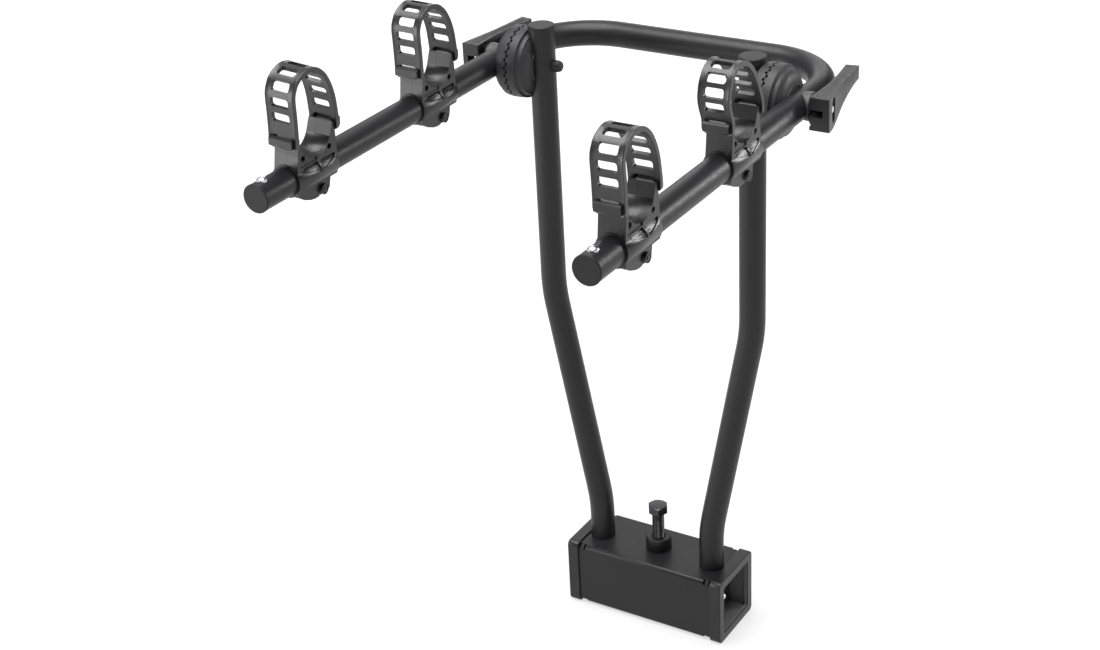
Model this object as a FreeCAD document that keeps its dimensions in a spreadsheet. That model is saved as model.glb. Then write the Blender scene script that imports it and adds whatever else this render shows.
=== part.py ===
import FreeCAD, Part
import Sketcher
import math
import os
from FreeCAD import Placement, Rotation, Vector

doc = FreeCAD.newDocument("bike_carrier")

# Driving sizes in millimetres, seen from behind the parked car with X to the right
sizes = {
    "box_length": 197,
    "box_side": 90,
    "box_wall": 4,
    "box_corner": 5,
    "frame_side": 94,
    "frame_depth": 15.5,
    "frame_window": 70,
    "frame_rim": 6,
    "frame_corner": 7,
    "sleeve_depth": 13,
    "sleeve_wall": 3,
    "barb_slot_length": 10,
    "barb_slot_side": 7,
    "barb_length": 5,
    "ball_opening": 60,
    "ball_opening_height": 66,
    "neck_slot": 36,
    "neck_slot_front": 20,
    "boss_diameter": 34,
    "boss_height": 19,
    "clamp_bolt_diameter": 16,
    "clamp_bolt_flats": 24,
    "clamp_bolt_head": 10,
    "clamp_bolt_raised": 37,
    "clamp_bolt_length": 80,
    "bolt_point_diameter": 12,
    "bolt_point_length": 8,
    "tube_diameter": 32,
    "tube_wall": 2.5,
    "foot_spacing": 163,
    "foot_bend_height": 147,
    "top_spacing": 280,
    "top_bend_height": 448,
    "upright_top": 797,
    "upright_setback": 6,
    "upright_bend_radius": 220,
    "cap_height": 3,
    "cap_plug_depth": 12,
    "fold_axis_height": 750,
    "arm_spacing": 397,
    "arm_reach": 484,
    "loop_reach": 127,
    "loop_corner_radius": 93,
    "stop_rivet_setback": 14,
    "hub_parting_offset": 2.25,
    "hub_radius": 45,
    "hub_gap": 0.3,
    "hub_tooth_count": 28,
    "pivot_bolt_diameter": 8,
    "saddle_washer_diameter": 34,
    "barrel_nut_diameter": 10,
    "barrel_nut_length": 29,
    "lever_pivot_offset": 16.5,
    "lever_height": 38,
    "cradle_width": 31,
    "cradle_saddle_radius": 24,
    "cradle_saddle_slope": 20,
    "cradle_band_wall": 2.4,
    "strap_width": 36.5,
    "strap_thickness": 5,
    "strap_slot_width": 23,
    "strap_slot_length": 10.4,
    "cradle_screw_diameter": 5,
    "front_left_setback": 87,
    "front_right_setback": 83.5,
    "rear_left_setback": 319,
    "rear_right_setback": 310,
    "front_left_lean": 4,
    "front_right_lean": 0,
    "rear_left_lean": 1.5,
    "rear_right_lean": 0,
}

sheet = doc.addObject("Spreadsheet::Sheet", "Sizes")
for row, (name, value) in enumerate(sizes.items(), start=1):
    sheet.set(f"A{row}", name)
    sheet.set(f"B{row}", str(value))
    sheet.setAlias(f"B{row}", name)
doc.recompute()

pieces = []


def size(name):
    return float(sheet.get(name))


tube_radius = size("tube_diameter") / 2
box_bottom = (size("frame_side") - size("box_side")) / 2
box_top = box_bottom + size("box_side")
axis_y = -size("upright_setback")
axis_z = size("fold_axis_height")
arm_x = size("arm_spacing") / 2
top_x = size("top_spacing") / 2
foot_x = size("foot_spacing") / 2
arm_face = arm_x + tube_radius
pivot_x = arm_face + size("lever_pivot_offset")
bolt_radius = size("pivot_bolt_diameter") / 2
running_gap = 0.08


def keep(piece, label):
    piece.Label = label
    pieces.append(piece)
    return piece


def add_shape(label, shape, placement=None):
    piece = doc.addObject("Part::Feature", label)
    piece.Shape = shape
    if placement:
        piece.Placement = placement
    return keep(piece, label)


def mirrored(shape):
    return shape.mirror(Vector(0, 0, 0), Vector(1, 0, 0))


def add_both(label, right_shape):
    add_shape(label, Part.Compound([right_shape, mirrored(right_shape)]))


def add_pair(label, right_shape):
    add_shape(f"{label}_right", right_shape)
    add_shape(f"{label}_left", mirrored(right_shape))


def box_between(low, high):
    return Part.makeBox(high[0] - low[0], high[1] - low[1], high[2] - low[2], Vector(*low))


def rod(radius, start, end):
    start, end = Vector(*start), Vector(*end)
    return Part.makeCylinder(radius, start.distanceToPoint(end), start, end - start)


def revolved(profile, base, axis):
    outline = Part.makePolygon([Vector(*p) for p in profile + profile[:1]])
    return Part.Face(outline).revolve(Vector(*base), Vector(*axis), 360)


# Solid blocks and rods whose sizes follow the sheet by expression

def bound_block(name, rules):
    block = doc.addObject("Part::Box", name)
    for target, rule in zip(("Length", "Width", "Height"), rules[:3]):
        block.setExpression(target, rule)
    for target, rule in zip("xyz", rules[3:]):
        block.setExpression(f".Placement.Base.{target}", rule)
    return block


def bound_rod(name, radius, height, base, turn=None):
    solid = doc.addObject("Part::Cylinder", name)
    if turn:
        solid.Placement = Placement(Vector(0, 0, 0), turn)
    solid.setExpression("Radius", radius)
    solid.setExpression("Height", height)
    for target, rule in zip("xyz", base):
        solid.setExpression(f".Placement.Base.{target}", rule)
    return solid


def rounded_edges(name, base, direction, radius):
    doc.recompute()
    edges = []
    for number, edge in enumerate(base.Shape.Edges, start=1):
        if edge.Curve.TypeId == "Part::GeomLine" and abs(abs(edge.Curve.Direction.dot(direction)) - 1) < 0.001:
            edges.append((number, radius, radius))
    rounded = doc.addObject("Part::Fillet", name)
    rounded.Base = base
    rounded.Edges = edges
    return rounded


def joined(name, solids):
    result = doc.addObject("Part::MultiFuse", name)
    result.Shapes = solids
    return result


def cut(name, base, tool):
    result = doc.addObject("Part::Cut", name)
    result.Base = base
    result.Tool = tool
    return result


along_x = Vector(1, 0, 0)

# Base box with the feet holes on top, the ball opening behind and the neck slot below
bottom = "(Sizes.frame_side - Sizes.box_side) / 2"
top = f"{bottom} + Sizes.box_side"
inner_side = "(Sizes.box_side - 2 * Sizes.box_wall)"
box_outer = bound_block("box_outer", (
    "Sizes.box_length", "Sizes.box_side", "Sizes.box_side",
    "-Sizes.box_length / 2", "-Sizes.box_side / 2", bottom))
box_skin = rounded_edges("box_skin", box_outer, along_x, size("box_corner"))
box_hollow = bound_block("box_hollow", (
    "Sizes.box_length + 20", inner_side, inner_side,
    "-Sizes.box_length / 2 - 10", f"-{inner_side} / 2", f"{bottom} + Sizes.box_wall"))
ball_opening = bound_block("ball_opening_space", (
    "Sizes.ball_opening", "Sizes.box_wall * 3", "Sizes.ball_opening_height",
    "-Sizes.ball_opening / 2", "Sizes.box_side / 2 - Sizes.box_wall * 2", f"{bottom} - 1"))
neck_slot = bound_block("neck_slot_space", (
    "Sizes.neck_slot", "Sizes.box_side / 2 + Sizes.neck_slot_front + 5", "Sizes.box_wall * 2",
    "-Sizes.neck_slot / 2", "-Sizes.neck_slot_front", f"{bottom} - 2"))
bolt_hole = bound_rod("box_bolt_hole", "Sizes.clamp_bolt_diameter / 2 + 0.5", "Sizes.box_wall * 3",
                      ("0", "0", f"{top} - Sizes.box_wall * 2"))
foot_holes = []
for sign in (-1, 1):
    foot_holes.append(bound_rod(
        f"foot_hole_{'left' if sign < 0 else 'right'}", "Sizes.tube_diameter / 2 + 0.05",
        "Sizes.box_wall * 3",
        (f"{sign} * Sizes.foot_spacing / 2", "-Sizes.upright_setback", f"{top} - Sizes.box_wall * 2")))
barb_slots = []
for x_sign in (-1, 1):
    for y_sign in (-1, 1):
        for z_sign in (-1, 1):
            side_x = "Sizes.box_length / 2 - Sizes.barb_slot_length - 0.5"
            side_y = "Sizes.box_side / 2 - Sizes.barb_slot_side + 1"
            if x_sign < 0:
                side_x = "-Sizes.box_length / 2 + 0.5"
            if y_sign < 0:
                side_y = "-Sizes.box_side / 2 - 1"
            side_z = f"{bottom} - 1" if z_sign < 0 else f"{top} - Sizes.barb_slot_side + 1"
            barb_slots.append(bound_block(
                f"barb_slot_{x_sign + 1}_{y_sign + 1}_{z_sign + 1}",
                ("Sizes.barb_slot_length", "Sizes.barb_slot_side", "Sizes.barb_slot_side",
                 side_x, side_y, side_z)))
box_spaces = joined("box_spaces", [box_hollow, ball_opening, neck_slot, bolt_hole] + foot_holes + barb_slots)
keep(cut("base_box", box_skin, box_spaces), "base_box")

# Open square plastic frames pressed into both ends of the box


def end_frame_shape():
    start = size("box_length") / 2
    end = start + size("frame_depth")
    half = size("frame_side") / 2
    window = size("frame_window") / 2
    middle = half
    sleeve = size("box_side") / 2 - size("box_wall") - 0.1
    plate = box_between((start, -half, 0), (end, half, 2 * half))
    plate = plate.makeFillet(size("frame_corner"), [
        edge for edge in plate.Edges if abs(edge.BoundBox.XLength - size("frame_depth")) < 0.01])
    face_rim = [edge for edge in plate.Edges if edge.BoundBox.XMin > end - 0.01]
    plate = plate.makeFillet(1.2, face_rim)
    inside = sleeve - size("sleeve_wall")
    sleeve_start = start - size("sleeve_depth")
    tube = box_between((sleeve_start, -sleeve, middle - sleeve), (start + 1, sleeve, middle + sleeve))
    solid = plate.fuse(tube)
    for y_sign in (-1, 1):
        for z_sign in (-1, 1):
            reach = size("box_side") / 2 - 0.6
            root = sleeve - 1.5
            length = size("barb_length")
            near = start - 0.5 - size("barb_slot_length") / 2 - length / 2
            ys = sorted((y_sign * root, y_sign * reach))
            zs = sorted((middle + z_sign * root, middle + z_sign * reach))
            barb = box_between((near, ys[0], zs[0]), (near + length, ys[1], zs[1]))
            corner = [edge for edge in barb.Edges
                      if abs(edge.BoundBox.Center.y - y_sign * reach) < 0.01
                      and abs(edge.BoundBox.Center.z - middle - z_sign * reach) < 0.01]
            solid = solid.fuse(barb.makeChamfer(3.5, corner))
    hollow = box_between((start - size("sleeve_depth") - 1, -inside, middle - inside),
                         (end - size("frame_rim"), inside, middle + inside))
    opening = box_between((start, -window, middle - window), (end + 1, window, middle + window))
    opening = opening.makeFillet(3, [
        edge for edge in opening.Edges if edge.BoundBox.XLength > size("frame_depth")])
    foot_space = rod(tube_radius + 0.3, (foot_x, axis_y, 0.5), (foot_x, axis_y, 2 * half))
    foot_room = box_between((0, -half, box_bottom + size("box_wall") - 0.1), (start - 0.5, half, 2 * half))
    foot_space = foot_space.common(foot_room)
    return solid.cut(hollow).cut(opening).cut(foot_space).removeSplitter()


add_pair("end_frame", end_frame_shape())

# Welded round boss with the clamp bolt's thread
boss = doc.addObject("PartDesign::Body", "clamp_boss_body")


def attached_sketch(body, role, name, height_rule=None):
    sketch = body.newObject("Sketcher::SketchObject", name)
    plane = next(item for item in body.Origin.OriginFeatures if item.Role == role)
    sketch.AttachmentSupport = [(plane, "")]
    sketch.MapMode = "FlatFace"
    if height_rule:
        sketch.setExpression(".AttachmentOffset.Base.z", height_rule)
    return sketch


def circle_in(sketch, rule):
    number = sketch.addGeometry(Part.Circle(Vector(0, 0, 0), Vector(0, 0, 1), 5), False)
    sketch.addConstraint(Sketcher.Constraint("Coincident", number, 3, -1, 1))
    place = sketch.addConstraint(Sketcher.Constraint("Radius", number, 5))
    sketch.setExpression(f"Constraints[{place}]", rule)


def padded_from(body, sketch, name, rule):
    pad = body.newObject("PartDesign::Pad", name)
    pad.Profile = sketch
    pad.setExpression("Length", rule)
    sketch.Visibility = False
    return pad


def chamfered(body, pad, name, width, level):
    doc.recompute()
    chamfer = body.newObject("PartDesign::Chamfer", name)
    chamfer.Base = (pad, [
        f"Edge{number}" for number, edge in enumerate(pad.Shape.Edges, start=1)
        if abs(edge.BoundBox.ZMin - level) < 0.01 and abs(edge.BoundBox.ZMax - level) < 0.01])
    chamfer.Size = width
    body.Tip = chamfer


boss_ring = attached_sketch(boss, "XY_Plane", "boss_ring", top)
circle_in(boss_ring, "Sizes.boss_diameter / 2")
circle_in(boss_ring, "Sizes.clamp_bolt_diameter / 2 + 0.06")
boss_pad = padded_from(boss, boss_ring, "boss_pad", "Sizes.boss_height")
chamfered(boss, boss_pad, "boss_edge", 1, box_top + size("boss_height"))
keep(boss, "clamp_boss")

# Hexagon clamp bolt with a thinner point that presses on the ball
clamp_bolt = doc.addObject("PartDesign::Body", "clamp_bolt_body")
head_base = f"{top} + Sizes.boss_height + Sizes.clamp_bolt_raised"
point_level = f"{head_base} - Sizes.clamp_bolt_length"
point_circle = attached_sketch(clamp_bolt, "XY_Plane", "point_circle", point_level)
circle_in(point_circle, "Sizes.bolt_point_diameter / 2")
padded_from(clamp_bolt, point_circle, "point_pad", "Sizes.bolt_point_length")
shank_circle = attached_sketch(clamp_bolt, "XY_Plane", "shank_circle",
                               f"{head_base} - Sizes.clamp_bolt_length + Sizes.bolt_point_length")
circle_in(shank_circle, "Sizes.clamp_bolt_diameter / 2")
padded_from(clamp_bolt, shank_circle, "shank_pad", "Sizes.clamp_bolt_length - Sizes.bolt_point_length")
head_outline = attached_sketch(clamp_bolt, "XY_Plane", "head_outline", head_base)
turns = [math.radians(60 * n) for n in range(6)]
corners = [Vector(13 * math.cos(turn), 13 * math.sin(turn), 0) for turn in turns]
for number in range(6):
    head_outline.addGeometry(Part.LineSegment(corners[number], corners[(number + 1) % 6]), False)
rim = head_outline.addGeometry(Part.Circle(Vector(0, 0, 0), Vector(0, 0, 1), 13), True)
head_outline.addConstraint(Sketcher.Constraint("Coincident", rim, 3, -1, 1))
for number in range(6):
    head_outline.addConstraint(Sketcher.Constraint("Coincident", number, 2, (number + 1) % 6, 1))
    head_outline.addConstraint(Sketcher.Constraint("PointOnObject", number, 1, rim))
for number in range(5):
    head_outline.addConstraint(Sketcher.Constraint("Equal", number, number + 1))
head_outline.addConstraint(Sketcher.Constraint("PointOnObject", 0, 1, -1))
rim_size = head_outline.addConstraint(Sketcher.Constraint("Radius", rim, 13))
head_outline.setExpression(f"Constraints[{rim_size}]", "Sizes.clamp_bolt_flats / sqrt(3)")
head_pad = padded_from(clamp_bolt, head_outline, "head_pad", "Sizes.clamp_bolt_head")
bolt_tip = box_top + size("boss_height") + size("clamp_bolt_raised") - size("clamp_bolt_length")
chamfered(clamp_bolt, head_pad, "bolt_tip_edge", 1, bolt_tip)
keep(clamp_bolt, "clamp_bolt")

# Bent uprights with their end caps


def rounded_path(points, radius):
    points = [Vector(*p) for p in points]
    edges = []
    start = points[0]
    for before, corner, after in zip(points, points[1:], points[2:]):
        back = (before - corner).normalize()
        ahead = (after - corner).normalize()
        half_angle = back.getAngle(ahead) / 2
        first = corner + back * (radius / math.tan(half_angle))
        last = corner + ahead * (radius / math.tan(half_angle))
        centre = corner + (back + ahead).normalize() * (radius / math.sin(half_angle))
        middle = centre + (corner - centre).normalize() * radius
        edges.append(Part.LineSegment(start, first).toShape())
        edges.append(Part.Arc(first, middle, last).toShape())
        start = last
    edges.append(Part.LineSegment(start, points[-1]).toShape())
    return Part.Wire(edges)


def swept(path, radius):
    first = path.Edges[0]
    along = first.tangentAt(first.FirstParameter)
    circle = Part.Circle(first.valueAt(first.FirstParameter), along, radius)
    return path.makePipeShell([Part.Wire(circle.toShape())], True, True)


def bent_tube(points, radius):
    path = rounded_path(points, radius)
    return swept(path, tube_radius).cut(swept(path, tube_radius - size("tube_wall")))


upright_path = [
    (foot_x, axis_y, box_bottom + size("box_wall")),
    (foot_x, axis_y, size("foot_bend_height")),
    (top_x, axis_y, size("top_bend_height")),
    (top_x, axis_y, size("upright_top")),
]
upright = bent_tube(upright_path, size("upright_bend_radius"))
pivot_hole = rod(bolt_radius + running_gap, (top_x - 30, axis_y, axis_z), (top_x + 30, axis_y, axis_z))
rivet_height = size("frame_side") / 2
rivet_radius = 2.5
rivet_hole = rod(rivet_radius, (foot_x, axis_y, rivet_height), (foot_x + 30, axis_y, rivet_height))
add_pair("upright", upright.cut(pivot_hole).cut(rivet_hole))

cap_top = size("upright_top") + size("cap_height")
plug_radius = tube_radius - size("tube_wall")
cap_profile = [
    (0, 0, size("upright_top") - size("cap_plug_depth")),
    (plug_radius - 0.8, 0, size("upright_top") - size("cap_plug_depth")),
    (plug_radius, 0, size("upright_top") - size("cap_plug_depth") + 2),
    (plug_radius, 0, size("upright_top")),
    (tube_radius + 0.3, 0, size("upright_top")),
    (tube_radius + 0.3, 0, cap_top - 1),
    (tube_radius - 0.7, 0, cap_top),
    (0, 0, cap_top),
]
upright_cap = revolved(cap_profile, (0, 0, 0), (0, 0, 1))
for label, x in (("upright_cap_left", -top_x), ("upright_cap_right", top_x)):
    add_shape(label, upright_cap, Placement(Vector(x, axis_y, 0), Rotation()))

# Bright rivet through the outer wall of each foot
rivet_face = foot_x + tube_radius
rivet_profile = [
    (rivet_face - size("tube_wall") - 1, 0, 0), (rivet_face - size("tube_wall") - 1, rivet_radius, 0),
    (rivet_face, rivet_radius, 0), (rivet_face, 4.6, 0), (rivet_face + 1.5, 4.3, 0),
    (rivet_face + 3, 3, 0), (rivet_face + 3.6, 0, 0)]
foot_rivet = revolved(rivet_profile, (0, 0, 0), (1, 0, 0))
foot_rivet.translate(Vector(0, axis_y, rivet_height))
add_both("foot_rivets", foot_rivet)

# Carrying frame, one tube bent to a flat U behind the uprights
frame_path = [
    (-arm_x, -size("arm_reach") + 2.5, axis_z),
    (-arm_x, size("loop_reach"), axis_z),
    (arm_x, size("loop_reach"), axis_z),
    (arm_x, -size("arm_reach") + 2.5, axis_z),
]
carrying_frame = bent_tube(frame_path, size("loop_corner_radius"))
stop_y = size("stop_rivet_setback") - size("arm_reach")
for sign in (-1, 1):
    carrying_frame = carrying_frame.cut(rod(
        bolt_radius + running_gap, (sign * arm_x - 20, axis_y, axis_z), (sign * arm_x + 20, axis_y, axis_z)))
    carrying_frame = carrying_frame.cut(rod(
        3, (sign * arm_x, stop_y, axis_z), (sign * arm_x, stop_y, axis_z + 20)))
add_shape("carrying_frame", carrying_frame)

arm_end = -size("arm_reach")
end_cap_profile = [
    (0, arm_end, 0), (tube_radius - 0.7, arm_end, 0), (tube_radius + 0.3, arm_end + 1, 0),
    (tube_radius + 0.3, arm_end + 2.5, 0), (plug_radius, arm_end + 2.5, 0),
    (plug_radius, arm_end + 5, 0), (plug_radius - 0.8, arm_end + 7, 0), (0, arm_end + 7, 0)]
arm_cap = revolved(end_cap_profile, (0, 0, 0), (0, 1, 0))
for label, x in (("arm_end_cap_left", -arm_x), ("arm_end_cap_right", arm_x)):
    add_shape(label, arm_cap, Placement(Vector(x, 0, axis_z), Rotation()))

stop_seat = axis_z + tube_radius - 1.5
stop_profile = [
    (0, 0, stop_seat), (6, 0, stop_seat), (6, 0, stop_seat + 2.4), (4.6, 0, stop_seat + 4.2),
    (2.2, 0, stop_seat + 5.2), (0, 0, stop_seat + 5.5)]
stop_rivet = revolved(stop_profile, (0, 0, 0), (0, 0, 1))
stop_rivet = stop_rivet.cut(rod(tube_radius, (0, -10, axis_z), (0, 10, axis_z)))
stop_rivet = stop_rivet.fuse(rod(2.95, (0, 0, stop_seat - 5), (0, 0, stop_seat + 3))).removeSplitter()
stop_rivet.translate(Vector(arm_x, stop_y, 0))
add_both("stop_rivets", stop_rivet)

# Knuckle hubs, an upright half and an arm half that meet at a toothed parting line
parting = (arm_x + top_x) / 2 - size("hub_parting_offset")
hub_radius = size("hub_radius")
tooth_count = int(size("hub_tooth_count"))
hub_steps = [
    (0, hub_radius - 0.6), (0.6, hub_radius), (3, hub_radius), (11, hub_radius - 4.5),
    (11.8, hub_radius - 6.5), (14, hub_radius - 7.2), (17.5, hub_radius - 9.2), (19, hub_radius - 11),
    (19.4, hub_radius - 14.5), (22, hub_radius - 16), (24, hub_radius - 19),
]


def hub_half(direction, shift):
    start = parting + direction * size("hub_gap") / 2
    profile = [(start, 0, 0)]
    for depth, radius in hub_steps:
        profile.append((start + direction * depth, radius, 0))
    profile.append((start + direction * hub_steps[-1][0], 0, 0))
    half = revolved(profile, (0, 0, 0), (1, 0, 0))
    notches = []
    for number in range(tooth_count):
        notch = box_between((-0.1, hub_radius - 1.6, -1.2), (1.9, hub_radius + 1, 1.2))
        if direction < 0:
            notch.translate(Vector(-1.8, 0, 0))
        notch.translate(Vector(start, 0, 0))
        notch.rotate(Vector(0, 0, 0), Vector(1, 0, 0), (number + shift) * 360 / tooth_count)
        notches.append(notch)
    half = half.cut(Part.Compound(notches))
    outer = start - direction
    inner = start + direction * 5
    recess = revolved([(outer, 0, 0), (outer, 13, 0), (inner, 13, 0), (inner, 0, 0)], (0, 0, 0), (1, 0, 0))
    half = half.cut(recess)
    half.translate(Vector(0, axis_y, axis_z))
    bore = rod(bolt_radius + running_gap, (parting - 40, axis_y, axis_z), (parting + 40, axis_y, axis_z))
    return half.cut(bore)


upright_core = rod(tube_radius, (top_x, axis_y, axis_z - 80), (top_x, axis_y, axis_z + 80))
arm_core = rod(tube_radius, (arm_x, axis_y - 80, axis_z), (arm_x, axis_y + 80, axis_z))
add_pair("upright_hub", hub_half(-1, 0).cut(upright_core))
add_pair("arm_hub", hub_half(1, 0.5).cut(arm_core))

# Pivot bolts with a domed cap on the inner side of each upright
inner_face = top_x - tube_radius
bolt_end = pivot_x + 7
pivot_bolt = rod(bolt_radius, (inner_face - 6, axis_y, axis_z), (bolt_end, axis_y, axis_z))
add_both("pivot_bolts", pivot_bolt)
cap_end = inner_face - 10.5
bolt_cap_profile = [
    (inner_face + 1.6, 4.0, 0), (inner_face + 1.6, 7.2, 0), (cap_end + 5, 7.2, 0), (cap_end + 4.4, 6.8, 0),
    (cap_end + 2, 6.4, 0), (cap_end + 0.6, 5.2, 0), (cap_end, 3, 0), (cap_end, 0, 0),
    (inner_face - 6, 0, 0), (inner_face - 6, 4.0, 0)]
bolt_cap = revolved(bolt_cap_profile, (0, 0, 0), (1, 0, 0))
bolt_cap.translate(Vector(0, axis_y, axis_z))
upright_inner = rod(tube_radius, (top_x, axis_y, axis_z - 40), (top_x, axis_y, axis_z + 40))
add_pair("pivot_bolt_cap", bolt_cap.cut(upright_inner))

# Saddle washers between the arm tubes and the cam levers
washer_radius = size("saddle_washer_diameter") / 2
washer_profile = [
    (arm_face - 12, 0, 0), (arm_face - 12, washer_radius - 1, 0), (arm_face - 1.5, washer_radius, 0),
    (arm_face + 0.2, washer_radius - 0.6, 0), (arm_face + 1.5, washer_radius - 3, 0), (arm_face + 1.5, 0, 0)]
saddle_washer = revolved(washer_profile, (0, 0, 0), (1, 0, 0))
saddle_washer.translate(Vector(0, axis_y, axis_z))
saddle_washer = saddle_washer.cut(arm_core)
saddle_washer = saddle_washer.cut(rod(
    bolt_radius + running_gap, (arm_face - 20, axis_y, axis_z), (arm_face + 20, axis_y, axis_z)))
add_pair("saddle_washer", saddle_washer)

# Cam levers with their upright barrel nuts
nut_radius = size("barrel_nut_diameter") / 2
nut_half = size("barrel_nut_length") / 2
lever_half = size("lever_height") / 2
barrel_nut = rod(nut_radius, (pivot_x, axis_y, axis_z - nut_half), (pivot_x, axis_y, axis_z + nut_half))
barrel_nut = barrel_nut.makeChamfer(0.8, [edge for edge in barrel_nut.Edges if edge.BoundBox.ZLength < 0.01])
barrel_nut = barrel_nut.cut(rod(
    bolt_radius + running_gap, (pivot_x - 10, axis_y, axis_z), (pivot_x + 10, axis_y, axis_z)))
add_pair("barrel_nut", barrel_nut)


def spline(points):
    curve = Part.BSplineCurve()
    curve.interpolate([Vector(*p) for p in points])
    return curve.toShape()


lever_inner = [(-12.3, -20.5, 0), (-10.7, 5, 0), (-10.8, 33, 0), (-13.2, 61, 0), (-18, 94, 0)]
lever_outer = [(-2.5, 97, 0), (0.2, 66, 0), (2.6, 39, 0), (7.2, 8, 0), (12, -20.5, 0)]
lever_plan = Part.Wire([
    spline(lever_inner), Part.LineSegment(Vector(*lever_inner[-1]), Vector(*lever_outer[0])).toShape(),
    spline(lever_outer), Part.LineSegment(Vector(*lever_outer[-1]), Vector(*lever_inner[0])).toShape()])
lever = Part.Face(lever_plan).extrude(Vector(0, 0, 60))
lever.translate(Vector(0, 0, -30))
under_side = [(-31, -24, -lever_half), (-31, 12, -lever_half), (-31, 36, -lever_half + 9),
              (-31, 64, -lever_half + 18), (-31, 103, -lever_half + 22)]
side_outline = Part.Wire([
    spline(under_side),
    Part.makePolygon([Vector(*under_side[-1]), Vector(-31, 103, lever_half), Vector(-31, -24, lever_half),
                      Vector(*under_side[0])])])
side_block = Part.Face(side_outline).extrude(Vector(60, 0, 0))
lever = lever.common(side_block)
front_edges = [edge for edge in lever.Edges if edge.BoundBox.YMax < -19]
lever = lever.makeFillet(1.5, front_edges)
lobe_radius = pivot_x - arm_face - 1.5 - 0.3
lobe = rod(lobe_radius, (0, 0, -14), (0, 0, 14))
lobe = lobe.common(box_between((-31, -60, -50), (0, 60, 50)))
lever = lever.fuse(lobe)
slot_half = bolt_radius + 0.2
lever = lever.cut(box_between((-31, -60, -slot_half), (slot_half, slot_half, slot_half)))
lever = lever.cut(rod(nut_radius + running_gap, (0, 0, -nut_half - 0.3), (0, 0, nut_half + 0.3)))
pocket = box_between((0, -5.5, -15), (29, 5.5, 15))
pocket = pocket.makeFillet(5.4, [edge for edge in pocket.Edges if edge.BoundBox.XLength > 20])
lever = lever.cut(pocket)
lever = lever.cut(box_between((-31, -60, -lever_half + 3), (-10.4, -13, -lever_half + 7)))
lever.translate(Vector(pivot_x, axis_y, axis_z))
add_pair("cam_lever", lever.removeSplitter())

# Bicycle cradles, drawn about the arm's axis at the middle of the cradle
half_width = size("cradle_width") / 2
saddle_radius = size("cradle_saddle_radius")
saddle_level = 19
band_radius = tube_radius + 0.15 + size("cradle_band_wall")
cradle_front = -33
cradle_rear = 34
screw_y = 15
screw_z = -25.5


def side_prism(points, low, high):
    outline = Part.makePolygon([Vector(low, *p) for p in points + points[:1]])
    return Part.Face(outline).extrude(Vector(high - low, 0, 0))


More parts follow.
